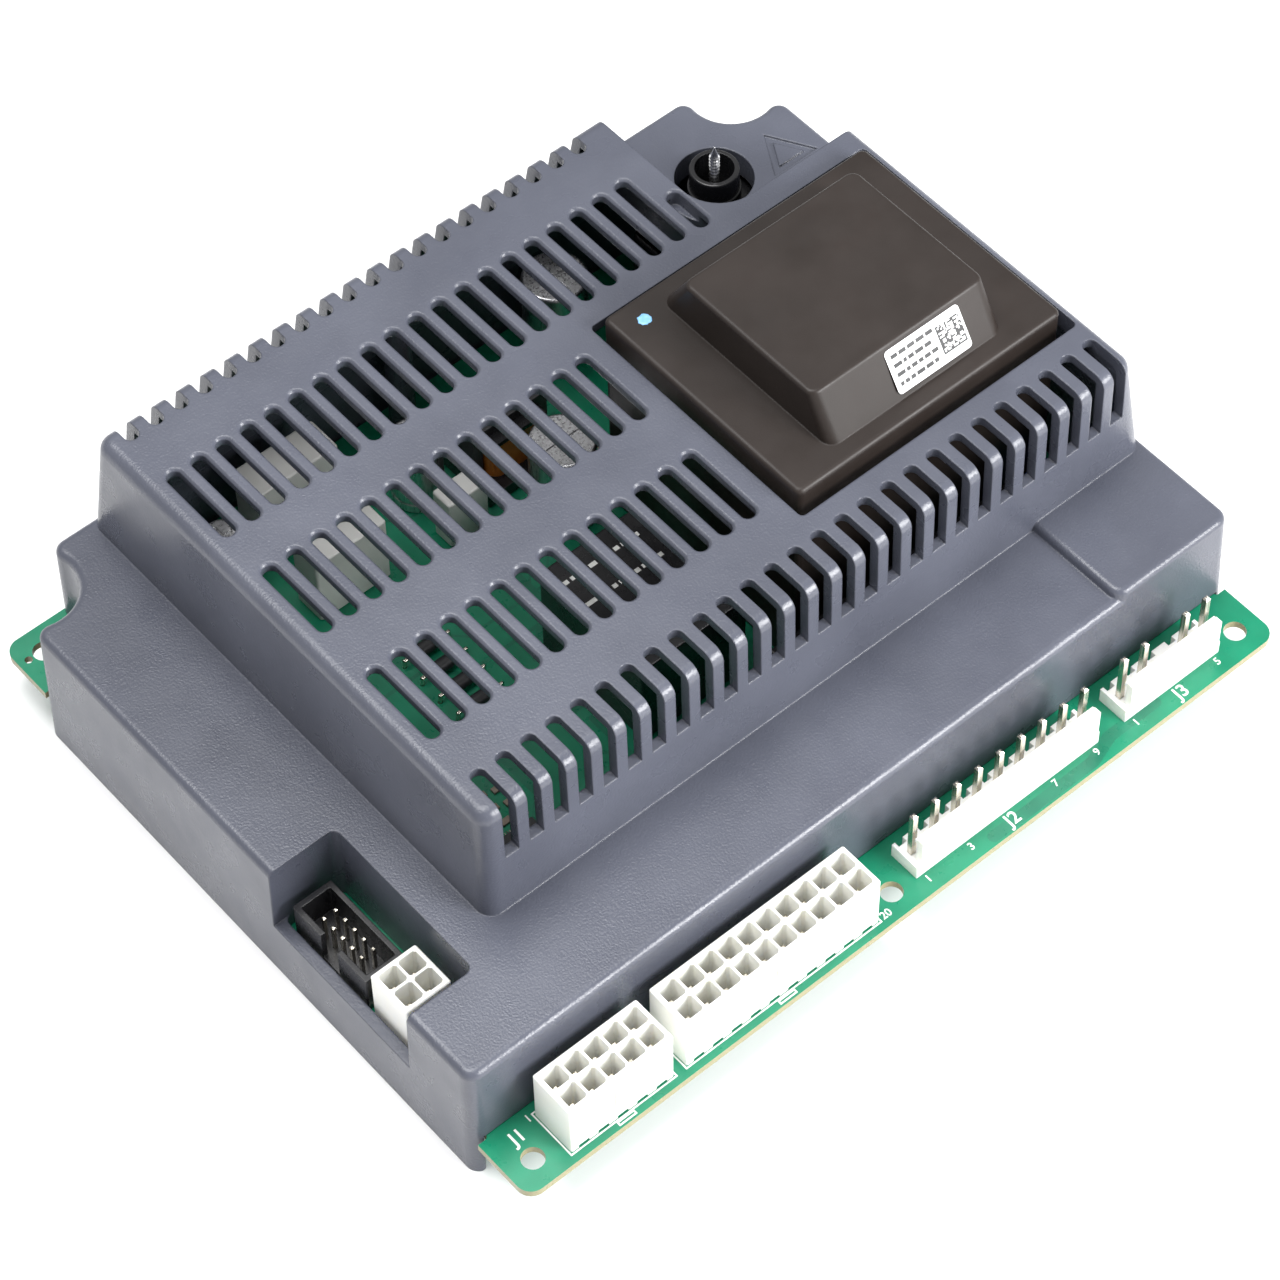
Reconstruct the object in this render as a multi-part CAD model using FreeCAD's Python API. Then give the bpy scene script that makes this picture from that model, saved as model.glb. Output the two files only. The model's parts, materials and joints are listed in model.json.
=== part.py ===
import FreeCAD, Part
import math
import os

# Potted-transformer control unit: vented cover over one circuit board.
# Units are mm, +Z up.  The origin is the centre of the four corner mounting
# holes, in the plane the feet of the cover stand on.

# mounting and board
HOLE_X = 81.25
HOLE_Y = 68.0
HOLE_R = 2.1
MID_HOLE = (-2.0, -68.4)
BOARD_X = 86.5
BOARD_Y = 73.25
BOARD_Z = 8.4
BOARD_T = 1.6
TOP = BOARD_Z + BOARD_T
SIDE_RECESS = 84.3
BACK_RECESS = 71.3
EAR_FRONT = -60.2
EAR_BACK = 60.4
TAIL = 2.2

# cover
WALL = 2.0
FOOT_X = 87.2
SHOULDER_X = 86.45
FRONT_FOOT = -60.1
FRONT_TOP = -59.1
BACK_FOOT = 74.2
BACK_TOP = 73.3
SHOULDER_Z = 28.9
STEP_Z = 30.6
STEP_X = 58.9
RAISED_Z = 56.8
RAISED_FOOT = (-64.75, 86.35, -37.75, 73.2)
RAISED_TOP = (-64.3, 81.4, -37.05, 67.2)
CUT_X = 48.6
CUT_Y = 35.4
CUT_R = 8.5
PLATFORM_Z = 41.5
PLATFORM_Y = 71.4
SCALLOP_R = 8.4
SCALLOP_LIP = 2.4
POCKET = (-72.35, -43.0, -6.4)
POCKET_SILL = 13.3
WINDOW = (15.55, 79.75, -24.6, 30.5)
POSTS = ((-79.0, -53.5), (79.0, -53.5), (-78.5, 48.0), (81.0, 33.0), (0.0, 67.0))
POST_R = 2.6
PEG_R = 1.5
CLEAR = 0.2

# vent slots
SLOT_X = -58.7
SLOT_PITCH = 5.26
SLOT_R = 1.45
SLOT_ROWS = ((37.1, 51.8, 20), (10.8, 25.3, 14), (-17.5, -2.7, 14))
SHORT_SLOT = (36.7, 43.8, 20)
FRONT_SLOTS = 27
FRONT_SLOT_Y = -29.6
BACK_SLOTS = 20
BACK_SLOT_Y = 64.1
SLOT_SILL = 43.2

# potted transformer
CASE = (16.75, 77.85, -22.5, 28.6)
CASE_Z = 60.0
CROWN = (27.1, 67.5, -19.45, 25.55)
CROWN_TOP = (27.35, 67.25, -13.4, 19.5)
CROWN_Z = 69.2

# ignition output
POST_AXIS = (64.05, 53.0)
TUBE_R = 4.65
TUBE_BORE = 3.7
TUBE_Z = 44.2
STUD_Z = 49.8
MODULE = (48.0, 78.0, 34.5, 58.0)
MODULE_Z = 34.0

# connectors
MF_PITCH = 4.2
MF_DEPTH = 9.6
MF_HEIGHT = 12.6
MF_Y = -71.4
MF_SMALL = (-75.8, MF_Y, 5)
MF_LARGE = (-50.85, MF_Y, 10)
MF_SIDE = (-83.9, -39.3, 2)
STRIP_PITCH = 5.0
STRIP_Y = -66.05
STRIP_LONG = (4.6, 9, ())
STRIP_SHORT = (54.2, 5, (2,))
STRIP_TIP = 24.3
BOX_C = (-79.9, -18.5)
BOX_X = 4.1
BOX_Y = 9.9
BOX_H = 9.0
BOX_PITCH = 2.54

# inside the transformer: core, its centre limb and the winding windows
CORE = (19.3, 75.3, -20.0, 26.1)
CORE_Z = (22.0, 52.0)
LIMB = (39.6, 55.0)
WINDOW_X = (31.0, 63.6)
WINDOW_Y = (-11.5, 17.5)

# parts on the board under the cover
MODULE_PINS = ((51.0, 37.5), (51.0, 55.0), (75.0, 37.5), (63.0, 37.5))
RELAYS = ((8.5, -35.0), (38.5, -35.0), (17.5, -52.5), (46.8, -52.5))
RELAY_SIZE = (28.5, 10.2, 15.4)
CANS = ((9.2, 31.5, 6.3, 20.0), (-8.5, 52.0, 5.0, 16.0),
        (-46.0, 60.0, 4.0, 11.5), (33.0, 62.0, 6.3, 20.0))
FILM_CAPS = ((-38.5, -20.5, 58.5, 66.5, 17.5),
             (-40.0, -24.0, 40.5, 47.5, 16.0),
             (-12.0, -3.0, 38.0, 43.0, 12.0))
SUPPLY = (-13.5, 10.5, -17.0, 11.0, 21.0)
SPOOL = (-1.0, 17.5, 40.5, 57.0, 15.0)
VARISTOR = (74.5, -24.8, 5.0)
FUSE = (-28.0, -8.0, -48.0)
CHIP = (-44.0, -22.0, 5.0)
OPTOS = ((-66.0, 6.0), (-66.0, 16.0), (-66.0, 26.0), (-66.0, 36.0))
DIODES = ((-30.0, 8.0), (-30.0, 13.0), (-30.0, 18.0), (-30.0, 23.0))
RELAY_PINS = ((2.0, 1.4), (2.0, 8.8), (16.0, 5.1), (21.0, 5.1), (26.5, 5.1))


def box(x0, x1, y0, y1, z0, z1):
    return Part.makeBox(x1 - x0, y1 - y0, z1 - z0, FreeCAD.Vector(x0, y0, z0))


def rod(x, y, r, z0, z1):
    return Part.makeCylinder(r, z1 - z0, FreeCAD.Vector(x, y, z0))


def square_pin(x, y, w, z0, z1, tip):
    h = w / 2.0
    pin = box(x - h, x + h, y - h, y + h, z0, z1)
    ends = [e for e in pin.Edges if all(abs(v.Z - z1) < 1e-6 for v in e.Vertexes)]
    return pin.makeChamfer(tip, ends)


def rounded_wire(x0, x1, y0, y1, z, r):
    r = max(0.05, r)
    k = r * (1.0 - math.sqrt(0.5))
    corners = (
        ((x1 - r, y0), (x1 - k, y0 + k), (x1, y0 + r)),
        ((x1, y1 - r), (x1 - k, y1 - k), (x1 - r, y1)),
        ((x0 + r, y1), (x0 + k, y1 - k), (x0, y1 - r)),
        ((x0, y0 + r), (x0 + k, y0 + k), (x0 + r, y0)),
    )
    edges = []
    last = (x0 + r, y0)
    for a, b, c in corners:
        pts = [FreeCAD.Vector(p[0], p[1], z) for p in (last, a, b, c)]
        edges.append(Part.makeLine(pts[0], pts[1]))
        edges.append(Part.Arc(pts[1], pts[2], pts[3]).toShape())
        last = c
    return Part.Wire(edges)


def slab(x0, x1, y0, y1, z0, z1, r):
    face = Part.Face(rounded_wire(x0, x1, y0, y1, z0, r))
    return face.extrude(FreeCAD.Vector(0, 0, z1 - z0))


def taper(low, z0, high, z1, r0, r1):
    a = rounded_wire(*low, z0, r0)
    b = rounded_wire(*high, z1, r1)
    return Part.makeLoft([a, b], True, True)


def shrink(rect, d):
    return (rect[0] + d, rect[1] - d, rect[2] + d, rect[3] - d)


def edges_at(shape, z):
    found = []
    for e in shape.Edges:
        b = e.BoundBox
        if abs(b.ZMin - z) < 1e-4 and abs(b.ZMax - z) < 1e-4:
            found.append(e)
    return found


def round_top(shape, z, r):
    return shape.makeFillet(r, edges_at(shape, z))


def fuse_all(shapes):
    first = shapes[0]
    if len(shapes) == 1:
        return first
    return first.multiFuse(shapes[1:]).removeSplitter()


# ---------------------------------------------------------------- cover

def lower_body(d):
    low = (-FOOT_X, FOOT_X, FRONT_FOOT, BACK_FOOT)
    high = (-SHOULDER_X, SHOULDER_X, FRONT_TOP, BACK_TOP)
    r = max(0.6, 2.6 - d)
    if d:
        body = taper(shrink(low, d), -1.0, shrink(high, d), SHOULDER_Z - d, r, r)
        return body
    return round_top(scalloped(taper(low, 0.0, high, SHOULDER_Z, r, r)), SHOULDER_Z, 1.5)


def step_body(d):
    low = (STEP_X - 1.6, SHOULDER_X + 0.15, FRONT_TOP - 0.25, -20.0)
    high = (STEP_X + 0.4, SHOULDER_X - 0.1, FRONT_TOP + 0.05, -20.0)
    r = max(0.6, 2.6 - d)
    if d:
        return taper(shrink(low, d), 20.0, shrink(high, d), STEP_Z - d, r, r)
    return round_top(taper(low, 22.0, high, STEP_Z, r, r), STEP_Z, 1.2)


def raised_body(d):
    r = max(0.6, 3.0 - d)
    if d:
        low = shrink(RAISED_FOOT, d)
        high = shrink(RAISED_TOP, d)
        return taper(low, SHOULDER_Z - 4.0, high, RAISED_Z - d, r, r)
    body = taper(RAISED_FOOT, SHOULDER_Z - 2.0, RAISED_TOP, RAISED_Z, r, r)
    return round_top(body, RAISED_Z, 2.4)


def platform_body(d):
    low = (20.0, SHOULDER_X + 0.1, 20.0, BACK_TOP + 0.1)
    high = (20.0, SHOULDER_X - 0.15, 20.0, PLATFORM_Y)
    r = max(0.6, 2.6 - d)
    if d:
        return taper(shrink(low, d), 20.0, shrink(high, d), PLATFORM_Z - d, r, r)
    return round_top(scalloped(taper(low, 22.0, high, PLATFORM_Z, r, r)), PLATFORM_Z, 1.5)


def corner_cut(d):
    x = CUT_X - d
    y = CUT_Y - d
    return slab(x, 140.0, y, 140.0, PLATFORM_Z - d, 80.0, CUT_R + d)


def scallops(d):
    r = SCALLOP_R + d
    return [rod(s * HOLE_X, HOLE_Y, r, -2.0, 60.0) for s in (-1, 1)]


def scallop_edges(shape):
    """The four upright edges where the two scallops run out through the walls."""
    found = []
    for e in shape.Edges:
        b = e.BoundBox
        if b.ZLength < 6.0 or b.XLength > 2.5 or b.YLength > 2.5:
            continue
        reach = [FreeCAD.Vector(b.Center.x - s * HOLE_X, b.Center.y - HOLE_Y, 0).Length for s in (-1, 1)]
        if abs(min(reach) - SCALLOP_R) < 0.7:
            found.append(e)
    return found


def scalloped(shape):
    shape = shape.cut(scallops(0)).removeSplitter()
    return shape.makeFillet(SCALLOP_LIP, scallop_edges(shape))


def pocket_tool():
    x1, y0, y1 = POCKET
    inner = FOOT_X - WALL - 0.6
    well = slab(-inner, x1, y0, y1, -2.0, 40.0, 1.6)
    gate = box(-95.0, -inner + 3.0, y0, y1, POCKET_SILL, 40.0)
    return well.fuse(gate)


def pocket_block():
    x1, y0, y1 = POCKET
    return slab(-100.0, x1 + WALL, y0 - WALL, y1 + WALL, -5.0, 60.0, 3.0)


def cover_outer():
    clear_of_lip = rod(HOLE_X, HOLE_Y, SCALLOP_R + 2.0 * SCALLOP_LIP, 0.0, PLATFORM_Z)
    raised = raised_body(0).cut([corner_cut(0), clear_of_lip])
    return fuse_all([lower_body(0), step_body(0), raised, platform_body(0)])


def cover_inner():
    raised = raised_body(WALL).cut(corner_cut(WALL))
    shape = fuse_all([lower_body(WALL), step_body(WALL), raised, platform_body(WALL)])
    shape = shape.cut(scallops(WALL))
    x, y = POST_AXIS
    collar = rod(x, y, 9.2, 36.0, 60.0)
    return shape.cut([pocket_block(), collar])


def slot_tool(i, y0, y1, z0, z1):
    x = SLOT_X + i * SLOT_PITCH
    body = slab(x - SLOT_R, x + SLOT_R, y0 - SLOT_R, y1 + SLOT_R, z0, z1, SLOT_R - 0.001)
    rim = 0.45
    ends = (x - SLOT_R, x + SLOT_R, y0 - SLOT_R, y1 + SLOT_R)
    r = SLOT_R - 0.001
    flare = taper(ends, RAISED_Z - rim, shrink(ends, -rim), RAISED_Z, r, r + rim)
    lift = taper(shrink(ends, -rim), RAISED_Z, shrink(ends, -rim), RAISED_Z + 1.0, r + rim, r + rim)
    return body.fuse([flare, lift])


def vent_tools():
    tools = []
    for y0, y1, count in SLOT_ROWS:
        for i in range(count):
            tools.append(slot_tool(i, y0, y1, RAISED_Z - 3.4, RAISED_Z + 1.0))
    y0, y1, i = SHORT_SLOT
    tools.append(slot_tool(i, y0, y1, RAISED_Z - 3.4, RAISED_Z + 1.0))
    for i in range(FRONT_SLOTS):
        x = SLOT_X + i * SLOT_PITCH
        tools.append(edge_slot(x, -50.0, FRONT_SLOT_Y))
    for i in range(BACK_SLOTS):
        x = SLOT_X + i * SLOT_PITCH
        tools.append(edge_slot(x, BACK_SLOT_Y, 90.0))
    return tools


def edge_slot(x, y0, y1):
    r = SLOT_R - 0.001
    return slab(x - SLOT_R, x + SLOT_R, y0 - SLOT_R, y1 + SLOT_R, SLOT_SILL, 60.0, r)


def post_solids(outer):
    posts = []
    for x, y in POSTS:
        posts.append(rod(x, y, POST_R, TOP + CLEAR, 60.0).common(outer))
    return posts


def peg_solids():
    pegs = []
    for x, y in POSTS:
        peg = rod(x, y, PEG_R, BOARD_Z - 1.6, TOP + CLEAR)
        pegs.append(peg.makeChamfer(0.5, edges_at(peg, BOARD_Z - 1.6)))
    return pegs


def triangle_recess():
    x, y, side = 77.9, 49.0, 10.4
    return triangle(x, y, side, 0.0).cut(triangle(x, y, side, 1.3))


def triangle(x, y, side, inset):
    r = side / math.sqrt(3.0) - 2.0 * inset
    pts = []
    for k in range(4):
        a = math.radians(90.0 + 120.0 * k)
        pts.append(FreeCAD.Vector(x + r * math.cos(a), y + r * math.sin(a), PLATFORM_Z - 0.4))
    return Part.Face(Part.makePolygon(pts)).extrude(FreeCAD.Vector(0, 0, 2.0))


def top_cover():
    outer = cover_outer()
    shell = outer.cut(cover_inner())
    shell = shell.fuse(post_solids(outer))
    x, y = POST_AXIS
    tools = [pocket_tool(), rod(x, y, 7.4, 20.0, 60.0)]
    tools.append(slab(WINDOW[0], WINDOW[1], WINDOW[2], WINDOW[3], 45.0, 60.0, 1.0))
    tools.append(board_clearance())
    shell = shell.cut(tools)
    shell = shell.cut(vent_tools())
    shell = shell.cut(triangle_recess())
    return shell.fuse(peg_solids()).removeSplitter()


# ---------------------------------------------------------------- board

def board_outline(grow):
    x = BOARD_X + grow
    y = BOARD_Y + grow
    face = Part.Face(rounded_wire(-x, x, -y, y, 0.0, 3.0))
    for s in (-1, 1):
        x0, x1 = sorted((s * (SIDE_RECESS + grow), s * 95.0))
        face = face.cut(Part.Face(rounded_wire(x0, x1, EAR_FRONT + grow, EAR_BACK - grow, 0.0, 0.6)))
    b = HOLE_X - 9.3 - grow
    return face.cut(Part.Face(rounded_wire(-b, b, BACK_RECESS + grow, 95.0, 0.0, 0.6)))


def board_clearance():
    face = board_outline(0.35)
    face.translate(FreeCAD.Vector(0, 0, -2.0))
    return face.extrude(FreeCAD.Vector(0, 0, 2.0 + TOP + CLEAR))


def main_board():
    face = board_outline(0.0)
    face.translate(FreeCAD.Vector(0, 0, BOARD_Z))
    board = face.extrude(FreeCAD.Vector(0, 0, BOARD_T))
    holes = [(sx * HOLE_X, sy * HOLE_Y, HOLE_R) for sx in (-1, 1) for sy in (-1, 1)]
    holes.append((MID_HOLE[0], MID_HOLE[1], HOLE_R))
    holes.append((-HOLE_X - 3.2, HOLE_Y + 0.2, 0.75))
    holes += [(x, y, PEG_R + 0.12) for x, y in POSTS]
    holes += LEAD_HOLES
    tools = [rod(x, y, r, BOARD_Z - 1.0, TOP + 1.0) for x, y, r in holes]
    return board.cut(tools)


LEAD_HOLES = []


def lead(x, y, r, z1):
    LEAD_HOLES.append((x, y, r + 0.06))
    return rod(x, y, r, BOARD_Z - TAIL, z1)


def square_lead(x, y, w, z1, tip):
    LEAD_HOLES.append((x, y, w * 0.7072 + 0.06))
    return square_pin(x, y, w, BOARD_Z - TAIL, z1, tip)


# ------------------------------------------------------- dual-row headers

def mf_cavities(x0, y0, cols):
    cells = []
    for i in range(cols):
        for j in range(2):
            x = x0 + 0.5 * (MF_DEPTH - MF_PITCH) + i * MF_PITCH
            y = y0 + 0.5 * (MF_DEPTH - MF_PITCH) + j * MF_PITCH
            cells.append((x, y))
    return cells


def mf_housing(x0, y0, cols, latch):
    length = MF_PITCH * (cols - 1) + 5.4
    z1 = TOP + MF_HEIGHT
    body = slab(x0, x0 + length, y0, y0 + MF_DEPTH, TOP, z1, 0.4)
    body = body.makeChamfer(0.25, edges_at(body, z1))
    tools = []
    for x, y in mf_cavities(x0, y0, cols):
        tools.append(mf_cell(x, y, z1))
        h = 0.5 * 1.14 + 0.01
        tools.append(box(x - h, x + h, y - h, y + h, TOP - 1.0, z1))
        tools.append(box(x - 1.15, x + 1.15, y0 - 1.0, y0 + 0.8, TOP - 1.0, TOP + 0.7))
        tools.append(box(x - 1.15, x + 1.15, y0 + MF_DEPTH - 0.8, y0 + MF_DEPTH + 1.0, TOP - 1.0, TOP + 0.7))
    body = body.cut(tools)
    if latch:
        body = body.fuse(latch_ramp(x0 + length / 2.0, y0))
    return body.removeSplitter()


def mf_cell(x, y, z1):
    h = 1.85
    cell = box(x - h, x + h, y - h, y + h, TOP + 2.6, z1 + 1.0)
    uprights = [e for e in cell.Edges if abs(e.BoundBox.ZLength) > 5.0]
    return cell.makeChamfer(0.45, uprights)


def latch_ramp(x, y):
    pts = ((y, TOP + 3.0), (y - 0.9, TOP + 8.4), (y - 0.9, TOP + 9.2), (y, TOP + 9.2))
    ring = [FreeCAD.Vector(x - 1.6, a, b) for a, b in pts + pts[:1]]
    return Part.Face(Part.makePolygon(ring)).extrude(FreeCAD.Vector(3.2, 0, 0))


def mf_pins(x0, y0, cols):
    pins = []
    for x, y in mf_cavities(x0, y0, cols):
        pins.append(square_lead(x, y, 1.14, TOP + 9.0, 0.3))
    return Part.makeCompound(pins)


# ------------------------------------------------------- single-row strips

def strip_positions(x0, count, missing):
    return [x0 + i * STRIP_PITCH for i in range(count) if i not in missing]


def strip_base(x0, count):
    left = x0 - 1.6
    right = x0 + (count - 1) * STRIP_PITCH + 1.6
    y0 = STRIP_Y - 3.2
    y1 = STRIP_Y + 3.2
    body = box(left, right, y0, y1, TOP, TOP + 3.2)
    wall = box(left + 1.1, right - 0.3, y0 + 0.0, y0 + 1.5, TOP + 3.2, TOP + 9.3)
    lip = box(left + 1.1, right - 0.3, y0 + 1.5, y0 + 2.0, TOP + 8.2, TOP + 9.0)
    tools = []
    for i in range(count):
        x = x0 + i * STRIP_PITCH
        tools.append(box(x - 0.9, x + 0.9, y1 - 1.1, y1 + 1.0, TOP - 1.0, TOP + 4.0))
        tools.append(box(x - 0.57, x + 0.57, STRIP_Y - 0.57, STRIP_Y + 0.57, TOP - 1.0, TOP + 4.0))
    for i in range(count - 1):
        x = x0 + (i + 0.5) * STRIP_PITCH
        tools.append(box(x - 1.2, x + 1.2, STRIP_Y - 1.0, STRIP_Y + 1.6, TOP - 1.0, TOP + 1.2))
    return body.fuse([wall, lip]).cut(tools).removeSplitter()


def strip_pins(x0, count, missing):
    pins = []
    for x in strip_positions(x0, count, missing):
        pins.append(square_lead(x, STRIP_Y, 1.1, STRIP_TIP, 0.35))
    return Part.makeCompound(pins)


# ------------------------------------------------------- shrouded header

def box_pin_positions():
    cells = []
    for i in range(2):
        for j in range(5):
            cells.append((BOX_C[0] + (i - 0.5) * BOX_PITCH, BOX_C[1] + (j - 2) * BOX_PITCH))
    return cells


def box_shroud():
    x, y = BOX_C
    z0 = TOP + 2.3
    z1 = TOP + BOX_H
    body = slab(x - BOX_X, x + BOX_X, y - BOX_Y, y + BOX_Y, TOP, z1, 0.3)
    inside = slab(x - BOX_X + 1.0, x + BOX_X - 1.0, y - BOX_Y + 1.1, y + BOX_Y - 1.1, z0, z1 + 1.0, 0.3)
    key = box(x - BOX_X - 1.0, x - BOX_X + 1.5, y - 2.25, y + 2.25, z0, z1 + 1.0)
    tools = [inside, key]
    for px, py in box_pin_positions():
        tools.append(box(px - 0.33, px + 0.33, py - 0.33, py + 0.33, TOP - 1.0, z1))
    return body.cut(tools)


def box_pins():
    return Part.makeCompound([square_lead(x, y, 0.64, TOP + 8.4, 0.18) for x, y in box_pin_positions()])


# ------------------------------------------------------- transformer

def case_outer():
    body = taper(shrink(CASE, 0.35), TOP + 0.3, CASE, CASE_Z, 1.2, 1.4)
    body = round_top(body, CASE_Z, 0.9)
    crown = taper(CROWN, CASE_Z - 1.0, CROWN_TOP, CROWN_Z, 2.6, 2.0)
    crown = round_top(crown, CROWN_Z, 0.8)
    return body.fuse(crown).removeSplitter()


def case_inner():
    lip = slab(*shrink(CASE, 2.2), TOP - 1.0, CASE_Z - 2.0, 0.8)
    crown = taper(shrink(CROWN, 2.0), CASE_Z - 3.0, shrink(CROWN_TOP, 2.0), CROWN_Z - 2.0, 1.0, 1.0)
    return lip.fuse(crown).removeSplitter()


def transformer_case():
    return case_outer().cut(case_inner())


def transformer_core():
    z0, z1 = CORE_Z
    frame = box(CORE[0], CORE[1], CORE[2], CORE[3], z0, z1)
    gaps = []
    gaps.append(box(WINDOW_X[0], LIMB[0], WINDOW_Y[0], WINDOW_Y[1], z0 - 1.0, z1 + 1.0))
    gaps.append(box(LIMB[1], WINDOW_X[1], WINDOW_Y[0], WINDOW_Y[1], z0 - 1.0, z1 + 1.0))
    return frame.cut(gaps)


def transformer_winding():
    z0, z1 = CORE_Z
    y0, y1 = WINDOW_Y
    outer = box(WINDOW_X[0] + 0.4, WINDOW_X[1] - 0.4, y0 + 0.6, y1 - 0.6, z0 - 7.5, z1 + 7.5)
    uprights = [e for e in outer.Edges if abs(e.BoundBox.YLength) > 20.0]
    outer = outer.makeFillet(3.5, uprights)
    bore = box(LIMB[0] - 0.4, LIMB[1] + 0.4, y0 - 1.0, y1 + 1.0, z0 - 0.4, z1 + 0.4)
    return outer.cut(bore)


def transformer_potting(core, winding, pins):
    fill = case_inner().common(box(-90, 90, -90, 90, TOP + 1.2, CROWN_Z))
    fill = fill.cut([core, winding])
    return fill.cut(pins)


def transformer_pins():
    pins = []
    for y in (-18.5, 24.6):
        for i in range(5):
            pins.append(lead(47.3 + (i - 2) * 10.0, y, 0.5, TOP + 8.0))
    return Part.makeCompound(pins)


# ------------------------------------------------------- ignition output

def ignition_module():
    x0, x1, y0, y1 = MODULE
    body = slab(x0, x1, y0, y1, TOP + 0.3, MODULE_Z, 1.5)
    body = round_top(body, MODULE_Z, 0.8)
    x, y = POST_AXIS
    boss = rod(x, y, 5.0, MODULE_Z - 1.0, MODULE_Z + 5.5)
    tube = rod(x, y, TUBE_R, MODULE_Z - 1.0, TUBE_Z)
    tube = tube.makeFillet(0.35, edges_at(tube, TUBE_Z))
    bore = rod(x, y, TUBE_BORE, MODULE_Z + 2.0, TUBE_Z + 1.0)
    seat = rod(x, y, 0.95, MODULE_Z - 3.0, TUBE_Z)
    pins = [rod(px, py, 0.46, TOP, TOP + 4.0) for px, py in MODULE_PINS]
    return body.fuse([boss, tube]).cut([bore, seat] + pins).removeSplitter()


def ignition_pins():
    return Part.makeCompound([lead(x, y, 0.45, TOP + 4.0) for x, y in MODULE_PINS])


def ignition_stud():
    x, y = POST_AXIS
    z0 = MODULE_Z - 3.0
    core_r = 0.72
    r = 0.95
    pitch = 0.8
    z_thread = MODULE_Z + 2.2
    profile = [(0.0, z0), (r - 0.01, z0), (r - 0.01, z_thread)]
    z = z_thread
    while z + pitch < STUD_Z - 1.9:
        profile += [(core_r, z + 0.2), (r + 0.05, z + 0.55), (r + 0.05, z + 0.65)]
        z += pitch
    profile += [(core_r, z + 0.3), (0.0, STUD_Z)]
    ring = [FreeCAD.Vector(x + a, y, b) for a, b in profile]
    face = Part.Face(Part.makePolygon(ring + ring[:1]))
    return face.revolve(FreeCAD.Vector(x, y, 0), FreeCAD.Vector(0, 0, 1), 360)


# ------------------------------------------------------- parts inside


def relays():
    dx, dy, dz = RELAY_SIZE
    bodies = []
    for x, y in RELAYS:
        body = slab(x, x + dx, y, y + dy, TOP + 0.3, TOP + dz, 0.5)
        body = round_top(body, TOP + dz, 0.4)
        bodies.append(body.cut([rod(px, py, 0.52, TOP, TOP + 2.3) for px, py in relay_pin_spots(x, y)]))
    return Part.makeCompound(bodies)


def relay_pin_spots(x, y):
    return [(x + dx, y + dy) for dx, dy in RELAY_PINS]


def relay_pins():
    pins = []
    for x, y in RELAYS:
        pins += [lead(px, py, 0.5, TOP + 2.3) for px, py in relay_pin_spots(x, y)]
    return Part.makeCompound(pins)


def can(x, y, r, h):
    body = rod(x, y, r, TOP + 0.3, TOP + h)
    body = body.makeFillet(0.6, edges_at(body, TOP + h))
    groove = Part.makeTorus(r + 0.35, 0.6, FreeCAD.Vector(x, y, TOP + 2.6))
    vents = [box(x - r * 0.6, x + r * 0.6, y - 0.15, y + 0.15, TOP + h - 0.25, TOP + h + 1.0)]
    vents.append(box(x - 0.15, x + 0.15, y - r * 0.6, y + r * 0.6, TOP + h - 0.25, TOP + h + 1.0))
    wires = [rod(x + s * r * 0.45, y, 0.32, TOP, TOP + 1.2) for s in (-1, 1)]
    return body.cut([groove] + vents + wires)


def electrolytic_cans():
    return Part.makeCompound([can(*c) for c in CANS])


def electrolytic_leads():
    wires = []
    for x, y, r, h in CANS:
        wires += [lead(x + s * r * 0.45, y, 0.3, TOP + 1.2) for s in (-1, 1)]
    return Part.makeCompound(wires)


def film_caps():
    bodies = []
    for x0, x1, y0, y1, h in FILM_CAPS:
        body = slab(x0, x1, y0, y1, TOP + 0.3, TOP + h, 0.6)
        body = round_top(body, TOP + h, 0.5)
        y = 0.5 * (y0 + y1)
        wires = [rod(x, y, 0.42, TOP, TOP + 1.5) for x in (x0 + 1.2, x1 - 1.2)]
        bodies.append(body.cut(wires))
    return Part.makeCompound(bodies)


def film_cap_leads():
    wires = []
    for x0, x1, y0, y1, h in FILM_CAPS:
        y = 0.5 * (y0 + y1)
        wires += [lead(x, y, 0.4, TOP + 1.5) for x in (x0 + 1.2, x1 - 1.2)]
    return Part.makeCompound(wires)


def supply_spots():
    x0, x1, y0, y1, h = SUPPLY
    return [(x, y) for x in (x0 + 2.0, x1 - 2.0) for y in (y0 + 3.0, y0 + 10.0, y1 - 3.0)]


def supply_block():
    x0, x1, y0, y1, h = SUPPLY
    body = slab(x0, x1, y0, y1, TOP + 0.3, TOP + h, 0.8)
    body = round_top(body, TOP + h, 0.5)
    return body.cut([rod(x, y, 0.42, TOP, TOP + 2.0) for x, y in supply_spots()])


def supply_pins():
    return Part.makeCompound([lead(x, y, 0.4, TOP + 2.0) for x, y in supply_spots()])


def spool_bobbin():
    x0, x1, y0, y1, h = SPOOL
    base = box(x0, x1, y0, y1, TOP + 0.3, TOP + 3.0)
    xm = 0.5 * (x0 + x1)
    ym = 0.5 * (y0 + y1)
    post = box(xm - 3.0, xm + 3.0, ym - 3.0, ym + 3.0, TOP + 3.0, TOP + h - 2.2)
    lid = box(xm - 6.5, xm + 6.5, ym - 6.0, ym + 6.0, TOP + h - 3.0, TOP + h - 2.0)
    pins = [rod(x, y, 0.37, TOP, TOP + 2.0) for x, y in spool_spots()]
    return base.fuse([post, lid]).cut(pins).removeSplitter()


def spool_spots():
    x0, x1, y0, y1, h = SPOOL
    return [(x, y) for x in (x0 + 3.0, x1 - 3.0) for y in (y0 + 1.6, y1 - 1.6)]


def spool_pins():
    return Part.makeCompound([lead(x, y, 0.35, TOP + 2.0) for x, y in spool_spots()])


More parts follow.
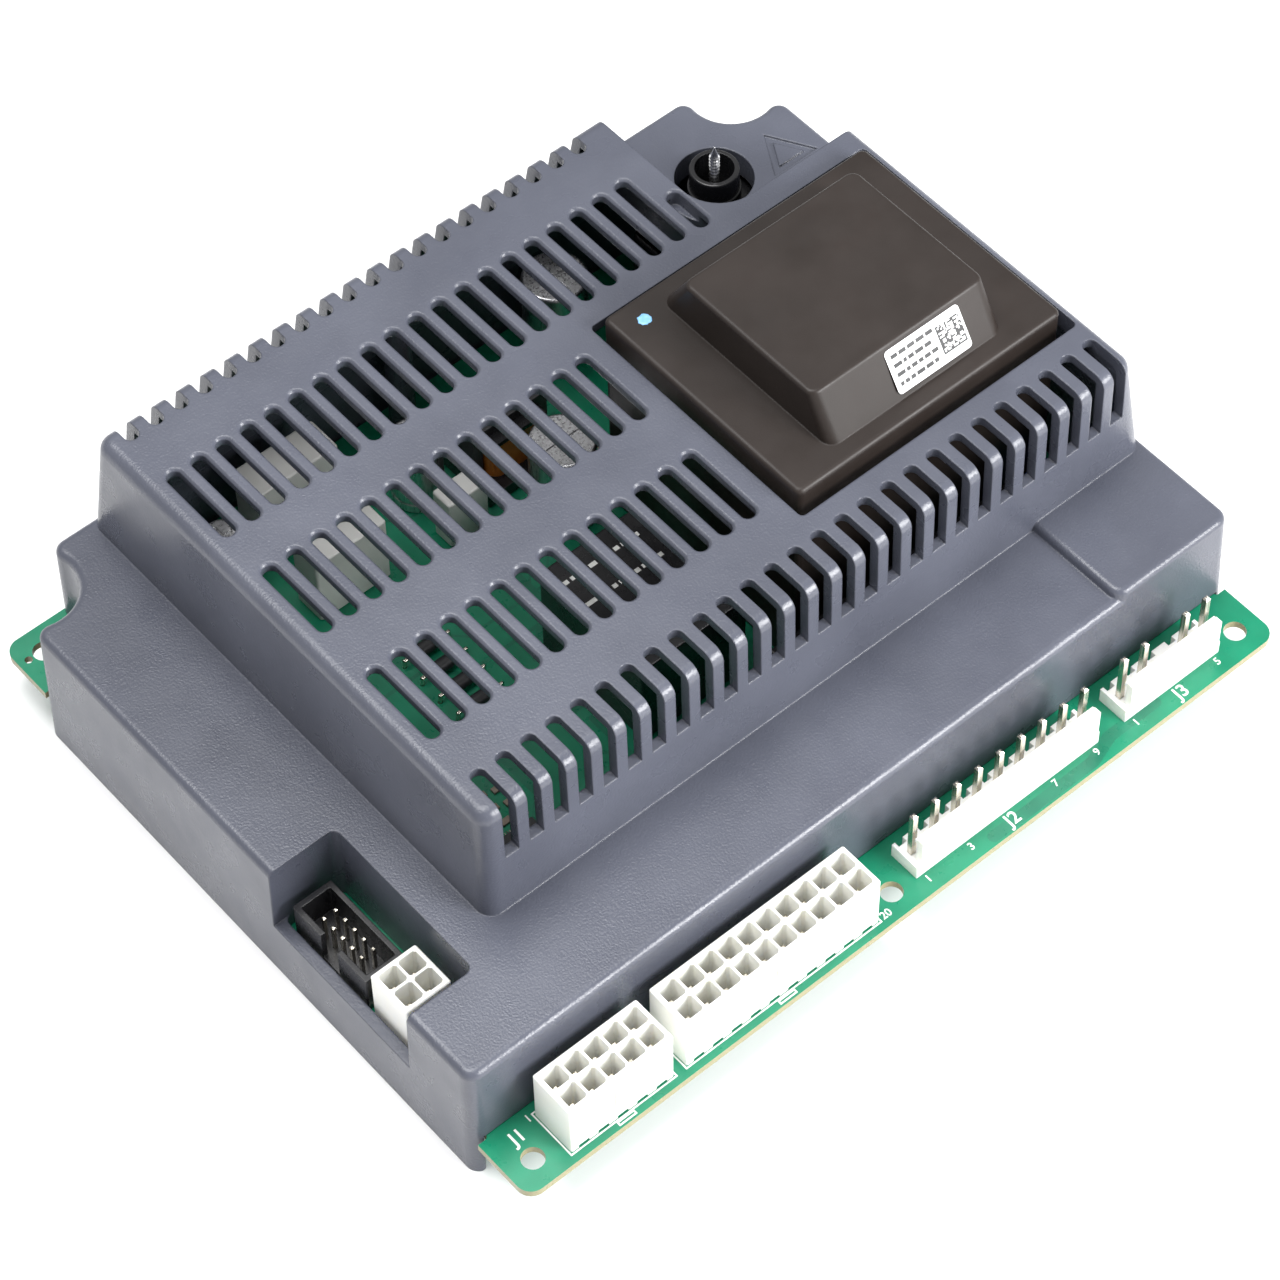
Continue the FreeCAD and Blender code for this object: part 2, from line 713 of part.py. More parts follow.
def spool_winding():
    x0, x1, y0, y1, h = SPOOL
    xm = 0.5 * (x0 + x1)
    ym = 0.5 * (y0 + y1)
    ring = slab(xm - 6.2, xm + 6.2, ym - 5.7, ym + 5.7, TOP + 3.0, TOP + h - 3.0, 2.5)
    return ring.cut(box(xm - 3.0, xm + 3.0, ym - 3.0, ym + 3.0, TOP, TOP + h))


def spool_core():
    x0, x1, y0, y1, h = SPOOL
    xm = 0.5 * (x0 + x1)
    ym = 0.5 * (y0 + y1)
    outer = box(x0 + 0.6, x1 - 0.6, ym - 3.4, ym + 3.4, TOP + 3.0, TOP + h)
    gap = box(xm - 6.6, xm + 6.6, ym - 5.0, ym + 5.0, TOP + 2.0, TOP + h - 2.0)
    return outer.cut(gap)


def varistor():
    x, y, r = VARISTOR
    disc = Part.makeCylinder(r, 4.0, FreeCAD.Vector(x, y - 2.0, TOP + 6.6), FreeCAD.Vector(0, 1, 0))
    disc = disc.makeFillet(1.2, [e for e in disc.Edges if e.BoundBox.YLength < 1e-4])
    return disc.cut([rod(x - 2.5, y, 0.42, TOP, TOP + 4.6), rod(x + 2.5, y, 0.42, TOP, TOP + 4.6)])


def varistor_leads():
    x, y, r = VARISTOR
    return Part.makeCompound([lead(x + s * 2.5, y, 0.4, TOP + 4.6) for s in (-1, 1)])


def along_x(x0, x1, y, z, r):
    return Part.makeCylinder(r, x1 - x0, FreeCAD.Vector(x0, y, z), FreeCAD.Vector(1, 0, 0))


def fuse_tube():
    x0, x1, y = FUSE
    return along_x(x0 + 2.0, x1 - 2.0, y, TOP + 5.5, 2.4).cut(along_x(x0, x1, y, TOP + 5.5, 1.8))


def fuse_caps():
    x0, x1, y = FUSE
    left = along_x(x0, x0 + 5.2, y, TOP + 5.5, 2.6).cut(along_x(x0 + 0.4, x0 + 6.0, y, TOP + 5.5, 2.4))
    right = along_x(x1 - 5.2, x1, y, TOP + 5.5, 2.6).cut(along_x(x1 - 6.0, x1 - 0.4, y, TOP + 5.5, 2.4))
    return Part.makeCompound([left, right])


def fuse_clips():
    x0, x1, y = FUSE
    clips = []
    for x in (x0 + 0.8, x1 - 4.4):
        band = along_x(x, x + 3.6, y, TOP + 5.5, 3.1).cut(along_x(x - 1.0, x + 5.0, y, TOP + 5.5, 2.6))
        band = band.cut(box(x - 1.0, x + 5.0, y - 1.9, y + 1.9, TOP + 5.5, TOP + 10.0))
        foot = box(x, x + 3.6, y - 2.4, y + 2.4, TOP, TOP + 0.5)
        stem = box(x + 0.8, x + 2.8, y - 0.5, y + 0.5, TOP + 0.4, TOP + 2.75)
        tail = lead(x + 1.8, y, 0.5, TOP + 0.3)
        clips.append(band.fuse([foot, stem, tail]).removeSplitter())
    return Part.makeCompound(clips)


def controller_chip():
    x, y, h = CHIP
    return slab(x - h, x + h, y - h, y + h, TOP + 0.15, TOP + 1.55, 0.3)


def controller_leads():
    x, y, h = CHIP
    legs = []
    for k in range(16):
        t = -3.75 + 0.5 * k
        for s in (-1, 1):
            legs.append(leg(x + t, y + s * (h + 0.55), 0.22, 1.1))
            legs.append(leg(x + s * (h + 0.55), y + t, 1.1, 0.22))
    return Part.makeCompound(legs)


def leg(x, y, dx, dy):
    return box(x - dx / 2.0, x + dx / 2.0, y - dy / 2.0, y + dy / 2.0, TOP, TOP + 0.25)


def optocouplers():
    bodies = [slab(x - 2.3, x + 2.3, y - 3.25, y + 3.25, TOP + 0.3, TOP + 3.6, 0.2) for x, y in OPTOS]
    return Part.makeCompound(bodies)


def opto_leads():
    legs = []
    for x, y in OPTOS:
        for dx in (-1.27, 1.27):
            for s in (-1, 1):
                legs.append(leg(x + dx, y + s * 3.8, 0.6, 1.1))
    return Part.makeCompound(legs)


def power_diodes():
    bodies = []
    for x, y in DIODES:
        body = along_x(x - 2.6, x + 2.6, y, TOP + 1.7, 1.35)
        bodies.append(body.cut(along_x(x - 4.0, x + 4.0, y, TOP + 1.7, 0.4)))
    return Part.makeCompound(bodies)


def diode_leads():
    wires = []
    for x, y in DIODES:
        wire = along_x(x - 5.0, x + 5.0, y, TOP + 1.7, 0.4)
        ends = [lead(x + s * 5.0, y, 0.4, TOP + 1.7) for s in (-1, 1)]
        caps = [Part.makeSphere(0.4, FreeCAD.Vector(x + s * 5.0, y, TOP + 1.7)) for s in (-1, 1)]
        wires.append(wire.fuse(ends + caps).removeSplitter())
    return Part.makeCompound(wires)


def chip_parts():
    parts = []
    for i in range(7):
        for j in range(3):
            x = -58.0 + 3.1 * i
            y = -8.0 - 3.4 * j + 0.6 * (i % 2)
            parts.append(box(x - 1.0, x + 1.0, y - 0.62, y + 0.62, TOP, TOP + 0.55))
    for j in range(5):
        parts.append(box(18.0, 20.0, 34.0 + 3.0 * j, 35.3 + 3.0 * j, TOP, TOP + 0.6))
        parts.append(box(22.0, 24.0, 34.0 + 3.0 * j, 35.3 + 3.0 * j, TOP, TOP + 0.6))
    for i in range(6):
        parts.append(box(-58.0 + 4.0 * i, -56.0 + 4.0 * i, -31.3, -30.0, TOP, TOP + 0.6))
    return Part.makeCompound(parts)


def build():
    nodes = {}
    nodes["header_2x5_housing"] = mf_housing(*MF_SMALL, True)
    nodes["header_2x5_pins"] = mf_pins(*MF_SMALL)
    nodes["header_2x10_housing"] = mf_housing(*MF_LARGE, True)
    nodes["header_2x10_pins"] = mf_pins(*MF_LARGE)
    nodes["header_2x2_housing"] = mf_housing(*MF_SIDE, False)
    nodes["header_2x2_pins"] = mf_pins(*MF_SIDE)
    nodes["pin_strip_9_base"] = strip_base(*STRIP_LONG[:2])
    nodes["pin_strip_9_pins"] = strip_pins(*STRIP_LONG)
    nodes["pin_strip_5_base"] = strip_base(*STRIP_SHORT[:2])
    nodes["pin_strip_5_pins"] = strip_pins(*STRIP_SHORT)
    nodes["box_header_shroud"] = box_shroud()
    nodes["box_header_pins"] = box_pins()
    nodes["transformer_case"] = transformer_case()
    nodes["transformer_core"] = transformer_core()
    nodes["transformer_winding"] = transformer_winding()
    nodes["transformer_pins"] = transformer_pins()
    inner = [nodes["transformer_core"], nodes["transformer_winding"]]
    nodes["transformer_potting"] = transformer_potting(*inner, nodes["transformer_pins"])
    nodes["ignition_module"] = ignition_module()
    nodes["ignition_pins"] = ignition_pins()
    nodes["ignition_stud"] = ignition_stud()
    nodes["relay_bodies"] = relays()
    nodes["relay_pins"] = relay_pins()
    nodes["electrolytic_cans"] = electrolytic_cans()
    nodes["electrolytic_leads"] = electrolytic_leads()
    nodes["film_capacitors"] = film_caps()
    nodes["film_capacitor_leads"] = film_cap_leads()
    nodes["supply_block"] = supply_block()
    nodes["supply_block_pins"] = supply_pins()
    nodes["spool_bobbin"] = spool_bobbin()
    nodes["spool_pins"] = spool_pins()
    nodes["spool_winding"] = spool_winding()
    nodes["spool_core"] = spool_core()
    nodes["varistor_disc"] = varistor()
    nodes["varistor_leads"] = varistor_leads()
    nodes["fuse_tube"] = fuse_tube()
    nodes["fuse_caps"] = fuse_caps()
    nodes["fuse_clips"] = fuse_clips()
    nodes["controller_chip"] = controller_chip()
    nodes["controller_leads"] = controller_leads()
    nodes["optocouplers"] = optocouplers()
    nodes["optocoupler_leads"] = opto_leads()
    nodes["power_diodes"] = power_diodes()
    nodes["power_diode_leads"] = diode_leads()
    nodes["chip_parts"] = chip_parts()
    nodes["main_board"] = main_board()
    nodes["top_cover"] = top_cover()
    return nodes


os.makedirs("parts", exist_ok=True)
for name, shape in build().items():
    shape.exportStep("parts/%s.step" % name)
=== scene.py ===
import json
import math
import random

import bmesh
import bpy
from mathutils import Matrix, Vector


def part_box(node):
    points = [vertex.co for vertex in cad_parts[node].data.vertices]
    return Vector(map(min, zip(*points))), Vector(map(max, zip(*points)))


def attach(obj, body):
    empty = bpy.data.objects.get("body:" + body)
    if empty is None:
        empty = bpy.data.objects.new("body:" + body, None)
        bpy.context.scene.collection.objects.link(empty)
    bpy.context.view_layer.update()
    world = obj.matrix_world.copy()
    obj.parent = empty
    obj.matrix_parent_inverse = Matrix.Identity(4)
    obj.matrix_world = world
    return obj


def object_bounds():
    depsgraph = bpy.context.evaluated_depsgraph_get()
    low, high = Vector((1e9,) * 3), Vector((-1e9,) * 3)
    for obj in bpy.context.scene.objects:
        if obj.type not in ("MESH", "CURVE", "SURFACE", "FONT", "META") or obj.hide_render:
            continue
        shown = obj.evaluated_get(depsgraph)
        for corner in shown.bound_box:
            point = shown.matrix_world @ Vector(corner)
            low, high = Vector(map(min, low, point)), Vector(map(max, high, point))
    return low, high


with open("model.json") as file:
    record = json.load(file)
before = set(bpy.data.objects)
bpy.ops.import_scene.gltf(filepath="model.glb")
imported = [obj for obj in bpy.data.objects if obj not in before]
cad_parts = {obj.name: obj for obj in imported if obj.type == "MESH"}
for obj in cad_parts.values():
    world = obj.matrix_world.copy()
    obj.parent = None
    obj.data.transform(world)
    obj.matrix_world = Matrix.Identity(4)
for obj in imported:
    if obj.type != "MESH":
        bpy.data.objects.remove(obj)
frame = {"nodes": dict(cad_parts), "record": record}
cad_low, cad_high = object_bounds()

# Units: Blender works in metres; sizes below are millimetres times MM.
MM = 0.001
BOARD = "board_assembly"

# viewpoint
CAMERA_AZIMUTH = math.radians(-39.72)
CAMERA_ELEVATION = math.radians(53.96)
CAMERA_ROLL = math.radians(-1.116)
CAMERA_TARGET = Vector((0.25, 0.10, 10.0)) * MM
CAMERA_DISTANCE = 766.35 * MM
SENSOR = 36.0
LENS = 121.14

# print on the board
INK = 0.03 * MM
INK_LINE = 0.3 * MM
FRAME_GAP = 0.45 * MM
LATCH_RAMP = 0.9 * MM
LATCH_BOX_HALF = 1.9 * MM
LATCH_BOX_REACH = 1.4 * MM
NUMBER_SIZE = 2.1 * MM
NUMBER_GAP = 4.55 * MM
DESIGNATOR_SIZE = 3.6 * MM
DESIGNATOR_GAP = 1.85 * MM
LETTER_WEIGHT = 0.012

# bars on the tops of the larger parts
TOP_BAND = 0.1 * MM
MARK_HEIGHT = 0.9 * MM
MARK_MARGIN = 1.6 * MM
MARK_TAIL = 3.0 * MM
MARK_GAP = 0.6 * MM
MARK_ROWS = (("relay_bodies", 3), ("supply_block", 4), ("controller_chip", 2))

# copper tracks: each starts within the first limits and stays within the second
TRACK_HEIGHT = 0.012 * MM
TRACK_WIDTHS = (0.5 * MM, 0.8 * MM, 1.4 * MM)
WIDE_TRACK = 2.4 * MM
TRACKS_PER_SIDE = 46
TRACK_LEGS = 4
START_X = 76 * MM
START_Y = 56 * MM
LIMIT_X = 78 * MM
LIMIT_Y = 58 * MM

# solder: how far the cone reaches beyond the lead, and how far below the board, in mm
SOLDER_PROFILE = ((0.62, 0.0), (0.58, 0.06), (0.34, 0.3), (0.16, 0.7), (0.06, 1.05))
SOLDER_SIDES = 14
LEAD_TAIL = 0.4 * MM
LEAD_SPREAD = 1.3 * MM

# label on the transformer's sloping front
LABEL_WIDTH = 17.0 * MM
LABEL_HEIGHT = 8.4 * MM
LABEL_X = 51.7 * MM
LABEL_LIFT = 5.7 * MM
CROWN_FOOT = Vector((0.0, -19.45, 60.0)) * MM
CROWN_RISE = Vector((0.0, 6.05, 9.2)) * MM
LABEL_CORNER = 0.8 * MM
LABEL_THICKNESS = 0.08 * MM
LABEL_MARGIN = 1.0 * MM
LABEL_GAP = 0.01 * MM
TONER = 0.012 * MM
BAR_ROWS = 4
BAR_TOP = 1.5 * MM
BAR_PITCH = 1.75 * MM
BAR_BELOW = 0.4 * MM
BAR_ABOVE = 0.35 * MM
BAR_END = 1.2 * MM
BAR_GAP = 0.35 * MM
PATCH_LEFT = 2.6 * MM
PATCH_SIDE = 5.4 * MM
PATCH_CELLS = 16

# dab of paint: share of the radius and height in mm, from the rim up
PAINT_DOT = Vector((22.24, 23.68, 60.0)) * MM
PAINT_RADIUS = 1.35 * MM
PAINT_PROFILE = ((1.0, 0.0), (0.93, 0.06), (0.6, 0.1), (0.25, 0.12))
PAINT_SIDES = 20

# floor, its half width in metres
FLOOR_HALF = 4.0
FLOOR_GAP = 0.05 * MM

# lights: direction, distance and width in metres, power in watts
WORLD_STRENGTH = 0.60
LIGHTS = {
    "key": ((0.376, -0.808, 0.46), 1.1, 0.6, 20.0),
    "overhead": ((-0.12, 0.18, 1.0), 1.2, 0.9, 17.0),
}

board_low, board_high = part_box("main_board")


# ---------------------------------------------------------------- nodes

def node(tree, kind, **values):
    made = tree.nodes.new(kind)
    for key, value in values.items():
        made.inputs[key.replace("_", " ")].default_value = value
    return made


def noise(tree, size_mm, detail=3.0, stretch=(1.0, 1.0, 1.0)):
    coords = tree.nodes.new("ShaderNodeTexCoord")
    mapping = node(tree, "ShaderNodeMapping", Scale=stretch)
    tree.links.new(coords.outputs["Object"], mapping.inputs["Vector"])
    made = node(tree, "ShaderNodeTexNoise", Scale=1.0 / (size_mm * MM), Detail=detail)
    tree.links.new(mapping.outputs["Vector"], made.inputs["Vector"])
    return made.outputs["Fac"]


def ramp(tree, factor, stops):
    made = tree.nodes.new("ShaderNodeValToRGB")
    elements = made.color_ramp.elements
    while len(elements) < len(stops):
        elements.new(0.5)
    for element, (place, colour) in zip(elements, stops):
        element.position = place
        element.color = (*colour, 1.0)
    tree.links.new(factor, made.inputs["Fac"])
    return made.outputs["Color"]


def spread(tree, factor, low, high):
    made = node(tree, "ShaderNodeMapRange", From_Min=0.3, From_Max=0.7, To_Min=low, To_Max=high)
    tree.links.new(factor, made.inputs["Value"])
    return made.outputs["Result"]


def soft_edges(tree, radius_mm):
    made = tree.nodes.new("ShaderNodeBevel")
    made.samples = 6
    made.inputs["Radius"].default_value = radius_mm * MM
    return made.outputs["Normal"]


def bump(tree, height, depth_mm, strength, normal=None):
    made = node(tree, "ShaderNodeBump", Strength=strength, Distance=depth_mm * MM)
    tree.links.new(height, made.inputs["Height"])
    if normal is not None:
        tree.links.new(normal, made.inputs["Normal"])
    return made.outputs["Normal"]


def blank(name):
    material = bpy.data.materials.new(name)
    material.use_nodes = True
    return material, material.node_tree, material.node_tree.nodes["Principled BSDF"]


def plastic(name, dark, light, rough, grain_mm=0.25, grain_depth=0.02, edge_mm=0.25, mottle_mm=14.0,
            specular=0.5, glow_through=0.0):
    material, tree, shader = blank(name)
    shader.inputs["Specular IOR Level"].default_value = specular
    shader.inputs["Subsurface Weight"].default_value = glow_through
    shader.inputs["Subsurface Radius"].default_value = (1.0, 0.9, 0.7)
    shader.inputs["Subsurface Scale"].default_value = 1.5 * MM
    colour = ramp(tree, noise(tree, mottle_mm, 5.0), ((0.35, dark), (0.68, light)))
    tree.links.new(colour, shader.inputs["Base Color"])
    finish = spread(tree, noise(tree, mottle_mm * 0.35, 4.0), rough - 0.05, rough + 0.06)
    tree.links.new(finish, shader.inputs["Roughness"])
    normal = bump(tree, noise(tree, grain_mm, 2.0), grain_depth, 0.55, soft_edges(tree, edge_mm))
    tree.links.new(normal, shader.inputs["Normal"])
    return material


def metal(name, dark, light, rough, stretch=(1.0, 1.0, 0.08)):
    material, tree, shader = blank(name)
    shader.inputs["Metallic"].default_value = 1.0
    streaks = noise(tree, 0.5, 4.0, stretch)
    tree.links.new(ramp(tree, streaks, ((0.3, dark), (0.7, light))), shader.inputs["Base Color"])
    tree.links.new(spread(tree, streaks, rough - 0.06, rough + 0.08), shader.inputs["Roughness"])
    normal = bump(tree, streaks, 0.008, 0.4, soft_edges(tree, 0.08))
    tree.links.new(normal, shader.inputs["Normal"])
    return material


def board_material():
    """Solder mask on the faces, bare fibreglass on the cut edges."""
    material, tree, shader = blank("board_laminate")
    mask = ramp(tree, noise(tree, 9.0, 4.0), ((0.3, (0.0015, 0.160, 0.082)), (0.7, (0.003, 0.215, 0.112))))
    fibre = ramp(tree, noise(tree, 0.6, 3.0, (1.0, 1.0, 5.0)),
                 ((0.3, (0.19, 0.17, 0.085)), (0.7, (0.32, 0.29, 0.15))))
    coords = tree.nodes.new("ShaderNodeTexCoord")
    split = tree.nodes.new("ShaderNodeSeparateXYZ")
    tree.links.new(coords.outputs["Normal"], split.inputs["Vector"])
    upright = tree.nodes.new("ShaderNodeMath")
    upright.operation = "ABSOLUTE"
    tree.links.new(split.outputs["Z"], upright.inputs[0])
    mix = tree.nodes.new("ShaderNodeMix")
    mix.data_type = "RGBA"
    tree.links.new(upright.outputs["Value"], mix.inputs["Factor"])
    tree.links.new(fibre, mix.inputs["A"])
    tree.links.new(mask, mix.inputs["B"])
    tree.links.new(mix.outputs["Result"], shader.inputs["Base Color"])
    tree.links.new(spread(tree, noise(tree, 3.0, 3.0), 0.26, 0.38), shader.inputs["Roughness"])
    normal = bump(tree, noise(tree, 0.9, 2.0), 0.006, 0.4)
    tree.links.new(normal, shader.inputs["Normal"])
    return material


def glass_material():
    material, tree, shader = blank("fuse_glass")
    shader.inputs["Transmission Weight"].default_value = 0.95
    shader.inputs["IOR"].default_value = 1.5
    tint = ramp(tree, noise(tree, 4.0), ((0.3, (0.86, 0.92, 0.9)), (0.7, (0.95, 0.98, 0.97))))
    tree.links.new(tint, shader.inputs["Base Color"])
    tree.links.new(spread(tree, noise(tree, 2.0), 0.03, 0.09), shader.inputs["Roughness"])
    return material


def winding_material():
    """Fine turns of enamelled wire: close rings stacked along Z."""
    material, tree, shader = blank("copper")
    shader.inputs["Metallic"].default_value = 0.85
    coords = tree.nodes.new("ShaderNodeTexCoord")
    turns = node(tree, "ShaderNodeTexWave", Scale=1.0 / (1.2 * MM), Distortion=0.3)
    turns.bands_direction = "Z"
    tree.links.new(coords.outputs["Object"], turns.inputs["Vector"])
    colour = ramp(tree, turns.outputs["Fac"], ((0.1, (0.28, 0.09, 0.03)), (0.8, (0.66, 0.26, 0.1))))
    tree.links.new(colour, shader.inputs["Base Color"])
    tree.links.new(spread(tree, noise(tree, 2.0), 0.25, 0.4), shader.inputs["Roughness"])
    tree.links.new(bump(tree, turns.outputs["Fac"], 0.15, 0.8), shader.inputs["Normal"])
    return material


def slot_materials():
    """One material for each finish that the CAD nodes use."""
    return {
        "cover_plastic": plastic("cover_plastic", (0.066, 0.071, 0.093), (0.084, 0.090, 0.116), 0.29,
                                 grain_mm=0.42, grain_depth=0.11, edge_mm=0.5, mottle_mm=22.0),
        "board_laminate": board_material(),
        "white_nylon": plastic("white_nylon", (0.84, 0.84, 0.79), (0.92, 0.92, 0.88), 0.36,
                               grain_mm=0.4, grain_depth=0.008, edge_mm=0.2, glow_through=0.25),
        "tin_plate": metal("tin_plate", (0.50, 0.46, 0.38), (0.78, 0.74, 0.66), 0.24),
        "black_plastic": plastic("black_plastic", (0.007, 0.007, 0.008), (0.014, 0.014, 0.016), 0.26,
                                 grain_mm=0.4, grain_depth=0.01),
        "case_plastic": plastic("case_plastic", (0.017, 0.0125, 0.0105), (0.024, 0.018, 0.0155), 0.42,
                                grain_mm=0.28, grain_depth=0.022, edge_mm=0.4, mottle_mm=18.0, specular=0.3),
        "core_steel": metal("core_steel", (0.16, 0.16, 0.17), (0.32, 0.32, 0.33), 0.42, (0.05, 1.0, 1.0)),
        "copper": winding_material(),
        "resin": plastic("resin", (0.03, 0.026, 0.022), (0.055, 0.048, 0.042), 0.3, 1.2, 0.05),
        "zinc_steel": metal("zinc_steel", (0.58, 0.58, 0.59), (0.86, 0.86, 0.87), 0.2, (1.0, 1.0, 1.0)),
        "can_aluminium": metal("can_aluminium", (0.52, 0.52, 0.53), (0.75, 0.75, 0.77), 0.3),
        "cap_grey": plastic("cap_grey", (0.56, 0.56, 0.54), (0.68, 0.68, 0.66), 0.4),
        "tape_orange": plastic("tape_orange", (0.52, 0.15, 0.02), (0.70, 0.23, 0.04), 0.28, 0.8, 0.02),
        "ferrite": plastic("ferrite", (0.03, 0.03, 0.033), (0.055, 0.055, 0.06), 0.45, 0.3, 0.03),
        "varistor_blue": plastic("varistor_blue", (0.012, 0.07, 0.32), (0.02, 0.11, 0.42), 0.25, 1.5, 0.04),
        "fuse_glass": glass_material(),
        "chip_epoxy": plastic("chip_epoxy", (0.012, 0.012, 0.014), (0.024, 0.024, 0.027), 0.5, 0.15, 0.015),
        "chip_body": plastic("chip_body", (0.17, 0.13, 0.10), (0.28, 0.23, 0.18), 0.45),
    }


def extra_materials():
    return {
        "ink": plastic("print_white", (0.78, 0.78, 0.75), (0.88, 0.88, 0.86), 0.5,
                       grain_mm=0.2, grain_depth=0.004, edge_mm=0.02, mottle_mm=4.0),
        "paper": plastic("label_paper", (0.84, 0.84, 0.85), (0.91, 0.91, 0.92), 0.38,
                         grain_mm=0.5, grain_depth=0.004, edge_mm=0.05, mottle_mm=6.0),
        "toner": plastic("label_toner", (0.012, 0.012, 0.013), (0.035, 0.035, 0.037), 0.5,
                         grain_mm=0.15, grain_depth=0.003, edge_mm=0.02, mottle_mm=2.0),
        "paint": plastic("paint_blue", (0.17, 0.42, 0.74), (0.28, 0.55, 0.86), 0.35,
                         grain_mm=0.6, grain_depth=0.02, edge_mm=0.1, mottle_mm=1.5),
        "solder": metal("solder", (0.46, 0.46, 0.47), (0.74, 0.74, 0.75), 0.22, (1.0, 1.0, 1.0)),
        "track": plastic("masked_copper", (0.003, 0.125, 0.07), (0.005, 0.165, 0.09), 0.3,
                         grain_mm=0.5, grain_depth=0.005, edge_mm=0.02, mottle_mm=5.0),
        "floor": plastic("studio_floor", (0.86, 0.86, 0.86), (0.88, 0.88, 0.88), 0.6,
                         grain_mm=3.0, grain_depth=0.01, edge_mm=0.1, mottle_mm=300.0),
    }


def dress_nodes(materials):
    for part in frame["record"]["subparts"]:
        mesh = frame["nodes"][part["node"]].data
        mesh.materials.clear()
        mesh.materials.append(materials[part["material_slot"]])


# ---------------------------------------------------------------- mesh helpers

def keep(bm, name, material):
    mesh = bpy.data.meshes.new(name)
    bmesh.ops.recalc_face_normals(bm, faces=bm.faces)
    bm.to_mesh(mesh)
    bm.free()
    mesh.materials.append(material)
    obj = bpy.data.objects.new(name, mesh)
    bpy.context.scene.collection.objects.link(obj)
    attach(obj, BOARD)
    return obj


def prism(bm, outline, thickness, place):
    """A flat plate with that outline, standing on z 0 of place."""
    low = [bm.verts.new(place @ Vector((x, y, 0.0))) for x, y in outline]
    high = [bm.verts.new(place @ Vector((x, y, thickness))) for x, y in outline]
    bm.faces.new(low)
    bm.faces.new(high)
    for i in range(len(outline)):
        j = (i + 1) % len(outline)
        bm.faces.new((low[i], low[j], high[j], high[i]))


def skin(bm, rows):
    """Faces between rows of equal length, with both ends closed."""
    sides = len(rows[0])
    for row, after in zip(rows, rows[1:]):
        for k in range(sides):
            j = (k + 1) % sides
            bm.faces.new((row[k], row[j], after[j], after[k]))
    bm.faces.new(rows[0])
    bm.faces.new(rows[-1])


def circle(radius, sides):
    angles = [math.tau * k / sides for k in range(sides)]
    return [(radius * math.cos(angle), radius * math.sin(angle)) for angle in angles]


def rectangle(x0, x1, y0, y1):
    return [(x0, y0), (x1, y0), (x1, y1), (x0, y1)]


def rounded(width, height, radius, steps=6):
    points = []
    corners = ((1, -1, -90.0), (1, 1, 0.0), (-1, 1, 90.0), (-1, -1, 180.0))
    for sx, sy, start in corners:
        for k in range(steps + 1):
            angle = math.radians(start + 90.0 * k / steps)
            points.append((sx * (width / 2 - radius) + radius * math.cos(angle),
                           sy * (height / 2 - radius) + radius * math.sin(angle)))
    return points


def ring(bm, x0, x1, y0, y1, line, place):
    for outline in (rectangle(x0, x1, y0, y0 + line), rectangle(x0, x1, y1 - line, y1),
                    rectangle(x0, x0 + line, y0 + line, y1 - line),
                    rectangle(x1 - line, x1, y0 + line, y1 - line)):
        prism(bm, outline, INK, place)


def solids(name):
    """The vertices of each separate solid in a CAD node."""
    mesh = frame["nodes"][name].data
    keys = [tuple(round(c, 6) for c in v.co) for v in mesh.vertices]
    parent = {k: k for k in keys}

    def root(k):
        while parent[k] != k:
            parent[k] = parent[parent[k]]
            k = parent[k]
        return k

    for face in mesh.polygons:
        first = keys[face.vertices[0]]
        for i in face.vertices[1:]:
            parent[root(keys[i])] = root(first)
    groups = {}
    for k in parent:
        groups.setdefault(root(k), []).append(Vector(k))
    return sorted(groups.values(), key=lambda g: (round(g[0].x, 4), round(g[0].y, 4)))


def middle(points):
    xs = [p.x for p in points]
    ys = [p.y for p in points]
    return (min(xs) + max(xs)) / 2, (min(ys) + max(ys)) / 2


# ---------------------------------------------------------------- print on the board

def lettering(bm, text, x, y, size):
    curve = bpy.data.curves.new("lettering", "FONT")
    curve.body = text
    curve.size = size
    curve.align_x = "CENTER"
    curve.align_y = "CENTER"
    curve.extrude = INK / 2
    curve.offset = size * LETTER_WEIGHT
    obj = bpy.data.objects.new("lettering", curve)
    bpy.context.scene.collection.objects.link(obj)
    bpy.context.view_layer.update()
    mesh = bpy.data.meshes.new_from_object(obj.evaluated_get(bpy.context.evaluated_depsgraph_get()))
    mesh.transform(Matrix.Translation((x, y, board_high.z + INK / 2)))
    bm.from_mesh(mesh)
    bpy.data.meshes.remove(mesh)
    bpy.data.objects.remove(obj)


def header_frame(bm, housing, place, latched):
    """The outline round a plug header. A latched housing's box reaches past its front face by
    the latch ramp, and a small second outline stands in front of that face."""
    low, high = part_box(housing)
    face = low.y + (LATCH_RAMP if latched else 0.0)
    front = face - FRAME_GAP
    ring(bm, low.x - FRAME_GAP, high.x + FRAME_GAP, front, high.y + FRAME_GAP, INK_LINE, place)
    if latched:
        centre = (low.x + high.x) / 2
        ring(bm, centre - LATCH_BOX_HALF, centre + LATCH_BOX_HALF, face - LATCH_BOX_REACH, front,
             INK_LINE, place)


def pin_numbers(bm, node_name, numbers):
    """Numbers in front of a pin strip. Returns the first pin's x and the pitch."""
    places = sorted(middle(group) for group in solids(node_name))
    first = places[0][0]
    pitch = places[1][0] - first
    for number in numbers:
        lettering(bm, str(number), first + pitch * (number - 1), places[0][1] - NUMBER_GAP, NUMBER_SIZE)
    return first, pitch


